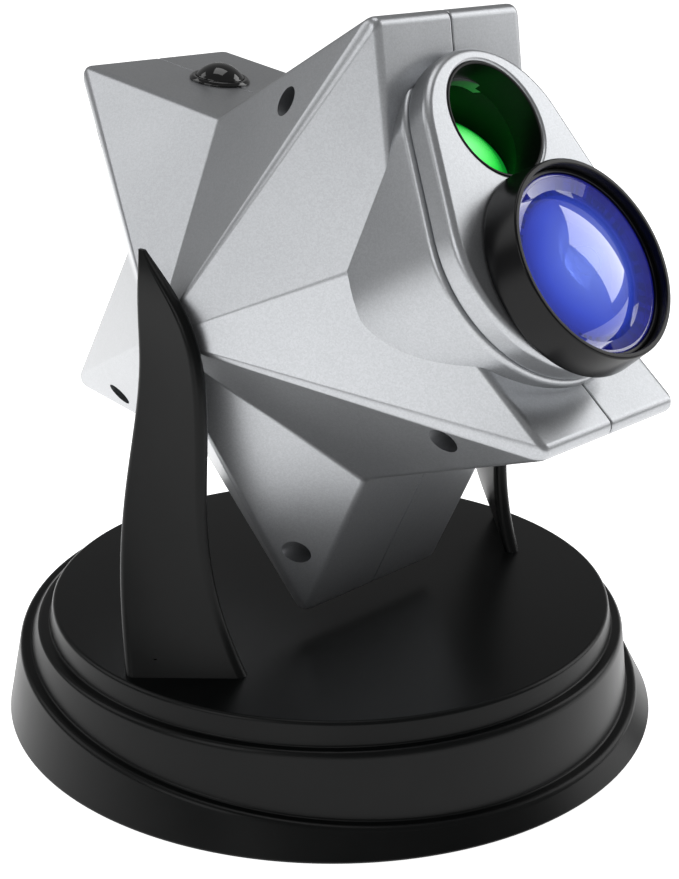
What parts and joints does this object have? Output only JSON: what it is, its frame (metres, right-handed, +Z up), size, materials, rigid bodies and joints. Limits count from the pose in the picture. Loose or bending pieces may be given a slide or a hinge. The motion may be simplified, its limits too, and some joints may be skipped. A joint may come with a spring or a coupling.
{
  "type": "table-top star light projector",
  "caption": "Star-shaped light projector: a five-pointed pyramid head with an egg-shaped nose, lens and laser port, tilting between two curved arms on a round stepped base.",
  "frame": {"origin": "centre of the base underside, on the table", "axes": "+Z up, -Y is the front that the nose faces, X runs along the tilt axis; the arm seen nearest is at -X"},
  "size_m": [0.1904, 0.1966, 0.2023],
  "materials": {
    "satin_silver": "satin silver metallic paint on moulded plastic",
    "satin_black": "fine satin moulded plastic",
    "ring_black": "smooth satin moulded plastic",
    "gloss_black": "polished moulded plastic",
    "blue_glass": "polished blue glass",
    "green_glass": "polished green cover",
    "clear_plastic": "clear moulded plastic",
    "steel": "bright zinc plating",
    "brass": "turned brass",
    "aluminium": "black anodised or plain extrusion",
    "board_green": "solder mask",
    "part_black": "moulded parts",
    "rubber": "matt rubber"
  },
  "bodies": {
    "base": {"base_shell": "satin_black", "base_plate": "satin_black", "non_slip_pad": "rubber", "base_screws": "steel", "ballast_weight": "steel", "left_arm": "satin_black", "right_arm": "satin_black", "arm_screws": "steel", "friction_washers": "rubber", "retaining_washers": "steel", "pivot_screws": "steel"},
    "head": {"left_shell": "satin_silver", "right_shell": "satin_silver", "shell_screws": "steel", "nose_housing": "satin_silver", "front_plate": "satin_silver", "port_liner": "satin_black", "laser_recess": "satin_black", "green_window": "green_glass", "laser_module": "brass", "button_bezel": "gloss_black", "tact_switch": "part_black", "switch_board": "board_green", "power_inlet": "part_black", "optics_frame": "part_black", "axle_bushes": "brass", "drive_motor": "steel", "led_board": "board_green", "led_emitter": "clear_plastic", "led_heat_sink": "aluminium", "condenser_tube": "aluminium", "condenser_lens": "clear_plastic", "main_board": "board_green", "board_parts": "part_black"},
    "button": {"button_cap": "gloss_black"},
    "focus_ring": {"focus_ring": "ring_black"},
    "lens_slide": {"lens_cell": "satin_black", "blue_lens": "blue_glass"},
    "star_drum": {"star_wheel": "clear_plastic", "star_axle": "steel"},
    "cloud_drum": {"cloud_wheel": "clear_plastic", "cloud_axle": "steel"},
    "pinion": {"motor_pinion": "brass", "motor_shaft": "steel"}
  },
  "joints": [
    {"name": "head_tilt", "type": "hinge", "parent": "base", "child": "head", "pos_m": [0, 0.0017, 0.1212], "axis": [1, 0, 0], "range_deg": [-35, 40]},
    {"name": "button_press", "type": "slide", "parent": "head", "child": "button", "axis": [0, 0.1394, -0.9902], "range_m": [0, 0.0009], "stiffness_N_per_m": 300, "springref_m": -0.0005},
    {"name": "focus_turn", "type": "hinge", "parent": "head", "child": "focus_ring", "pos_m": [0, -0.07892, 0.14179], "axis": [0, -0.832, 0.5548], "range_deg": [-80, 66]},
    {"name": "lens_focus", "type": "slide", "parent": "head", "child": "lens_slide", "axis": [0, -0.832, 0.5548], "range_m": [-0.0012, 0.001]},
    {"name": "cloud_wheel_spin", "type": "hinge", "parent": "head", "child": "cloud_drum", "pos_m": [0, -0.03413, 0.12875], "axis": [0, -0.832, 0.5548], "continuous": true},
    {"name": "star_wheel_spin", "type": "hinge", "parent": "head", "child": "star_drum", "pos_m": [0, -0.01377, 0.15928], "axis": [0, -0.832, 0.5548], "continuous": true},
    {"name": "pinion_spin", "type": "hinge", "parent": "head", "child": "pinion", "pos_m": [0.01648, -0.02227, 0.14654], "axis": [0, -0.832, 0.5548], "continuous": true}
  ],
  "couplings": [
    {"joint": "lens_focus", "follows": "focus_turn", "m_per_rad": 0.00085},
    {"joint": "star_wheel_spin", "follows": "cloud_wheel_spin", "ratio": 1.25},
    {"joint": "pinion_spin", "follows": "cloud_wheel_spin", "ratio": -5}
  ]
}
